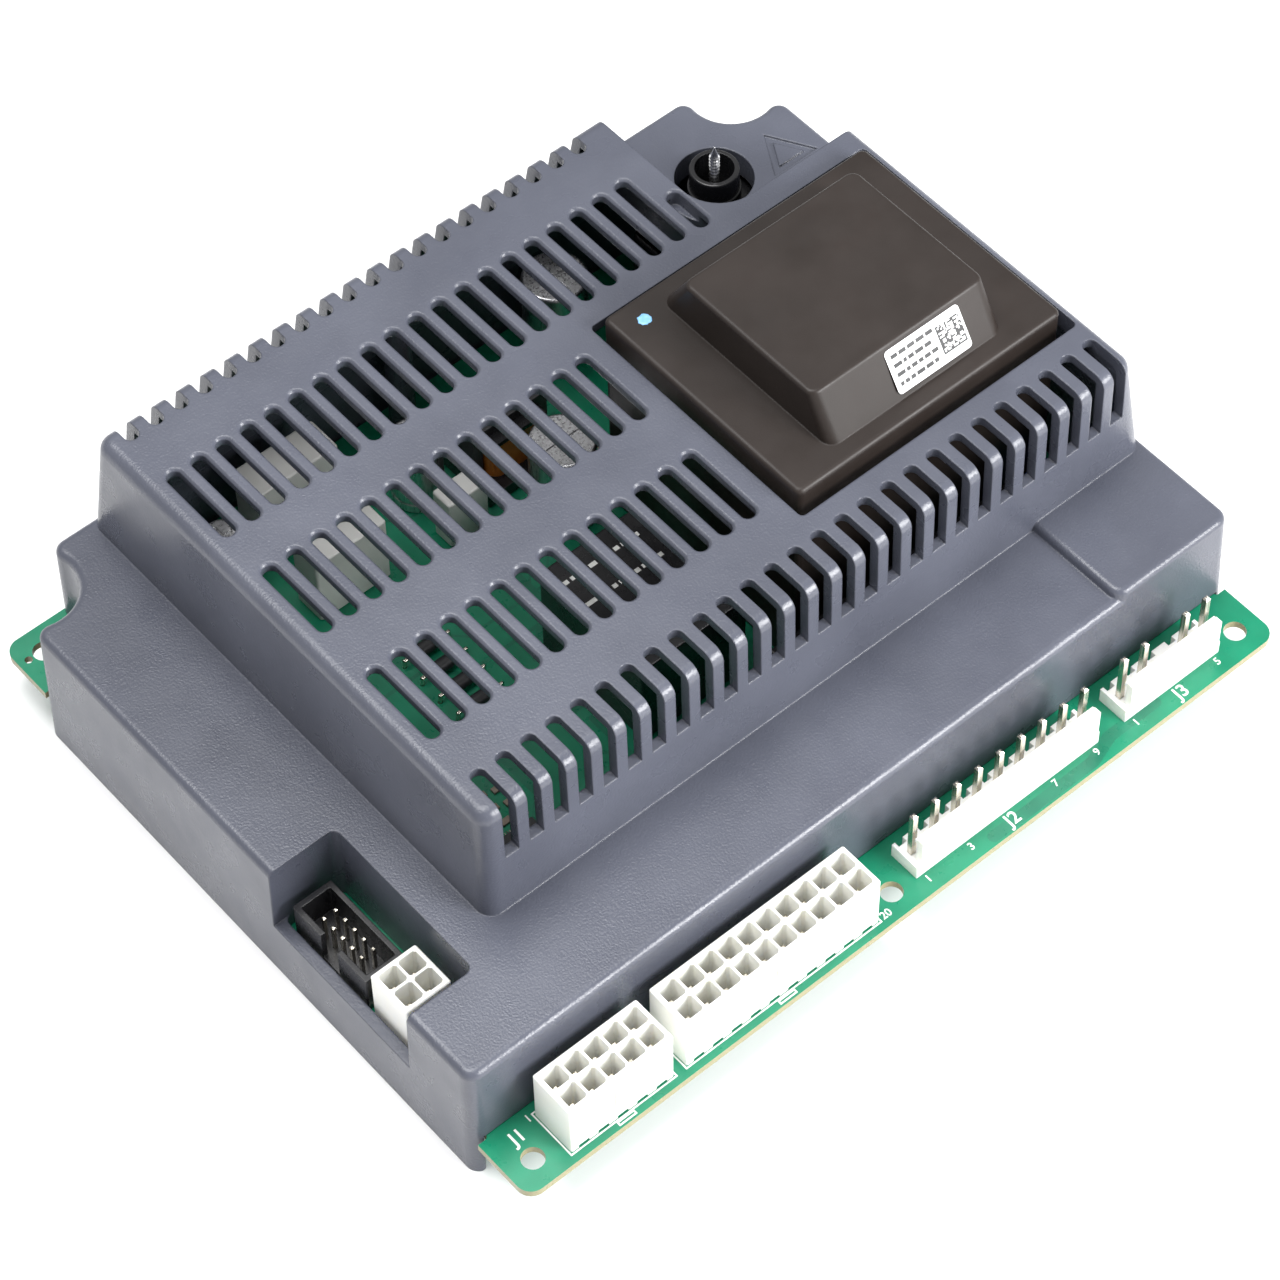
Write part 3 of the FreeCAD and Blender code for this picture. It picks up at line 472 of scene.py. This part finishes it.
def board_print(ink):
    bm = bmesh.new()
    place = Matrix.Translation((0.0, 0.0, board_high.z))
    header_frame(bm, "header_2x5_housing", place, True)
    header_frame(bm, "header_2x10_housing", place, True)
    header_frame(bm, "header_2x2_housing", place, False)
    first, pitch = pin_numbers(bm, "pin_strip_9_pins", (1, 3, 7, 9))
    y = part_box("pin_strip_9_base")[0].y - DESIGNATOR_GAP
    lettering(bm, "J2", first + 3.85 * pitch, y, DESIGNATOR_SIZE)
    first, pitch = pin_numbers(bm, "pin_strip_5_pins", (1, 5))
    lettering(bm, "J3", first + 2.1 * pitch, y, DESIGNATOR_SIZE)
    small_low, small_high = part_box("header_2x5_housing")
    lettering(bm, "1", small_low.x - 1.3 * MM, small_high.y, NUMBER_SIZE)
    lettering(bm, "J1", small_low.x - 4.8 * MM, small_high.y - 1.5 * MM, DESIGNATOR_SIZE)
    large_low, large_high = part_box("header_2x10_housing")
    lettering(bm, "20", large_high.x + 1.9 * MM, large_low.y + 1.2 * MM, NUMBER_SIZE)
    shroud_low, shroud_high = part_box("box_header_shroud")
    x = shroud_low.x - 0.2 * MM
    prism(bm, rectangle(x - INK_LINE, x, shroud_low.y, shroud_high.y), INK, place)
    keep(bm, "board_print", ink)


def track(bm, points, width, level, height):
    """A copper track: straight runs with slightly taller round joints, so their tops never
    lie in one plane."""
    outline = circle(width / 2, 16)
    for x, y in points:
        prism(bm, outline, height * 1.15, Matrix.Translation((x, y, level)))
    for (xa, ya), (xb, yb) in zip(points, points[1:]):
        run = Vector((xb - xa, yb - ya))
        turn = Matrix.Rotation(math.atan2(run.y, run.x), 4, "Z")
        place = Matrix.Translation((xa, ya, level)) @ turn
        prism(bm, rectangle(0.0, run.length, -width / 2, width / 2), height, place)


def wander(rng, x, y, legs):
    """A route that turns by 45 degrees between straight legs, kept inside the board."""
    points = [(x, y)]
    heading = rng.choice((0, 2, 4, 6))
    for _ in range(legs):
        length = rng.uniform(5.0, 20.0) * MM
        x += length * math.cos(heading * math.pi / 4)
        y += length * math.sin(heading * math.pi / 4)
        if abs(x) > LIMIT_X or abs(y) > LIMIT_Y:
            break
        points.append((x, y))
        heading += rng.choice((-1, 1))
    return points


def copper_tracks(material):
    """One wide track along the front edge, and random routes on both faces."""
    rng = random.Random(11)
    bm = bmesh.new()
    strip_y = board_low.y + 1.6 * MM
    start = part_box("pin_strip_9_base")[0].x
    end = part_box("pin_strip_5_base")[0].x
    track(bm, [(start + 16 * MM, strip_y), (end - 10 * MM, strip_y), (end - 4 * MM, strip_y + 2 * MM),
               (end + 7 * MM, strip_y + 2 * MM)], WIDE_TRACK, board_high.z, TRACK_HEIGHT)
    for side, level in ((1, board_high.z), (-1, board_low.z)):
        for _ in range(TRACKS_PER_SIDE):
            x = rng.uniform(-START_X, START_X)
            y = rng.uniform(-START_Y, START_Y)
            route = wander(rng, x, y, TRACK_LEGS)
            height = TRACK_HEIGHT * rng.uniform(0.6, 1.3)
            track(bm, route, rng.choice(TRACK_WIDTHS), level, side * height)
    keep(bm, "copper_tracks", material)


# ---------------------------------------------------------------- solder

def solder_spots():
    """Where leads come out under the board: x, y and half the lead's width."""
    spots = []
    reach = board_low.z - LEAD_TAIL
    for name in frame["nodes"]:
        if not name.endswith(("_pins", "_leads", "_clips")):
            continue
        for group in solids(name):
            tails = [p for p in group if p.z < reach]
            while tails:
                seed = tails[0]
                near = [p for p in tails if math.hypot(p.x - seed.x, p.y - seed.y) < LEAD_SPREAD]
                tails = [p for p in tails if p not in near]
                x, y = middle(near)
                half = max(abs(p.x - x) for p in near)
                spots.append((x, y, half))
    return spots


def solder_joints(material):
    """A concave cone of solder round each lead, on a round pad."""
    bm = bmesh.new()
    for x, y, half in solder_spots():
        rows = []
        for reach, drop in SOLDER_PROFILE:
            z = board_low.z - drop * MM
            outline = circle(half + reach * MM, SOLDER_SIDES)
            rows.append([bm.verts.new((x + dx, y + dy, z)) for dx, dy in outline])
        skin(bm, rows)
    obj = keep(bm, "solder_joints", material)
    for face in obj.data.polygons:
        face.use_smooth = len(face.vertices) == 4


# ---------------------------------------------------------------- transformer marks

def label_place():
    up = CROWN_RISE.normalized()
    right = Vector((1.0, 0.0, 0.0))
    out = right.cross(up)
    turn = Matrix((right, up, out)).transposed().to_4x4()
    spot = CROWN_FOOT + up * LABEL_LIFT + out * LABEL_GAP
    spot.x = LABEL_X
    return Matrix.Translation(spot) @ turn


def transformer_label(paper, toner):
    """A blank white label with plain bars and a random patch where print would be."""
    place = label_place()
    bm = bmesh.new()
    prism(bm, rounded(LABEL_WIDTH, LABEL_HEIGHT, LABEL_CORNER), LABEL_THICKNESS, place)
    keep(bm, "transformer_label", paper)
    rng = random.Random(5)
    bm = bmesh.new()
    surface = place @ Matrix.Translation((0.0, 0.0, LABEL_THICKNESS))
    for row in range(BAR_ROWS):
        y = LABEL_HEIGHT / 2 - BAR_TOP - BAR_PITCH * row
        x = -LABEL_WIDTH / 2 + LABEL_MARGIN
        while x < BAR_END:
            length = rng.uniform(0.7, 1.9) * MM
            prism(bm, rectangle(x, x + length, y - BAR_BELOW, y + BAR_ABOVE), TONER, surface)
            x += length + BAR_GAP
    side = PATCH_SIDE / PATCH_CELLS
    for i in range(PATCH_CELLS):
        for j in range(PATCH_CELLS):
            if rng.random() < 0.5 or i == 0 or j == 0:
                x = PATCH_LEFT + i * side
                y = -PATCH_SIDE / 2 + j * side
                prism(bm, rectangle(x, x + side, y, y + side), TONER, surface)
    keep(bm, "label_pattern", toner)


def paint_dot(material):
    """A dab of paint: a low dome with an uneven rim."""
    rng = random.Random(3)
    bm = bmesh.new()
    rim = [PAINT_RADIUS * rng.uniform(0.84, 1.08) for _ in range(PAINT_SIDES)]
    rows = []
    for share, lift in PAINT_PROFILE:
        row = []
        for radius, (dx, dy) in zip(rim, circle(1.0, PAINT_SIDES)):
            reach = radius * share
            row.append(bm.verts.new(PAINT_DOT + Vector((reach * dx, reach * dy, lift * MM))))
        rows.append(row)
    skin(bm, rows)
    obj = keep(bm, "paint_dot", material)
    for face in obj.data.polygons:
        face.use_smooth = True


def component_marks(ink):
    """Plain bars on the tops of the larger parts, where their print would be."""
    rng = random.Random(21)
    bm = bmesh.new()
    for name, rows in MARK_ROWS:
        for group in solids(name):
            top = max(p.z for p in group)
            xs = [p.x for p in group if p.z > top - TOP_BAND]
            ys = [p.y for p in group if p.z > top - TOP_BAND]
            step = (max(ys) - min(ys) - 2 * MARK_MARGIN) / rows
            for row in range(rows):
                y = min(ys) + MARK_MARGIN + step * (row + 0.5)
                half = MARK_HEIGHT / 2
                x = min(xs) + MARK_MARGIN
                while x < max(xs) - MARK_MARGIN - MARK_TAIL:
                    length = rng.uniform(0.8, 2.4) * MM
                    bar = rectangle(x, x + length, y - half, y + half)
                    prism(bm, bar, INK, Matrix.Translation((0.0, 0.0, top)))
                    x += length + MARK_GAP
    keep(bm, "component_marks", ink)


# ---------------------------------------------------------------- stage

def floor(material):
    bm = bmesh.new()
    level = cad_low.z - FLOOR_GAP
    corners = rectangle(-FLOOR_HALF, FLOOR_HALF, -FLOOR_HALF, FLOOR_HALF)
    bm.faces.new([bm.verts.new((x, y, level)) for x, y in corners])
    mesh = bpy.data.meshes.new("floor")
    bm.to_mesh(mesh)
    bm.free()
    mesh.materials.append(material)
    obj = bpy.data.objects.new("floor", mesh)
    bpy.context.scene.collection.objects.link(obj)


def softbox(name, direction, distance, size, power):
    light = bpy.data.lights.new(name, "AREA")
    light.shape = "DISK"
    light.size = size
    light.energy = power
    obj = bpy.data.objects.new(name, light)
    obj.location = Vector(direction).normalized() * distance
    obj.rotation_mode = "QUATERNION"
    obj.rotation_quaternion = Vector(direction).to_track_quat("Z", "Y")
    bpy.context.scene.collection.objects.link(obj)


def studio():
    world = bpy.data.worlds.new("studio")
    world.use_nodes = True
    world.node_tree.nodes["Background"].inputs["Color"].default_value = (1.0, 1.0, 1.0, 1.0)
    world.node_tree.nodes["Background"].inputs["Strength"].default_value = WORLD_STRENGTH
    bpy.context.scene.world = world
    bpy.context.scene.view_settings.view_transform = "Standard"
    for name, settings in LIGHTS.items():
        softbox(name, *settings)


def camera():
    back = Vector((math.sin(CAMERA_AZIMUTH) * math.cos(CAMERA_ELEVATION),
                   -math.cos(CAMERA_AZIMUTH) * math.cos(CAMERA_ELEVATION),
                   math.sin(CAMERA_ELEVATION)))
    level_right = (-back).cross(Vector((0.0, 0.0, 1.0))).normalized()
    level_up = level_right.cross(-back)
    right = level_right * math.cos(CAMERA_ROLL) + level_up * math.sin(CAMERA_ROLL)
    up = level_up * math.cos(CAMERA_ROLL) - level_right * math.sin(CAMERA_ROLL)
    data = bpy.data.cameras.new("camera")
    data.sensor_width = SENSOR
    data.lens = LENS
    obj = bpy.data.objects.new("camera", data)
    turn = Matrix((right, up, back)).transposed().to_4x4()
    obj.matrix_world = Matrix.Translation(CAMERA_TARGET + back * CAMERA_DISTANCE) @ turn
    bpy.context.scene.collection.objects.link(obj)
    bpy.context.scene.camera = obj


finishes = slot_materials()
extras = extra_materials()
dress_nodes(finishes)
board_print(extras["ink"])
copper_tracks(extras["track"])
solder_joints(extras["solder"])
transformer_label(extras["paper"], extras["toner"])
paint_dot(extras["paint"])
component_marks(extras["ink"])
floor(extras["floor"])
studio()
camera()
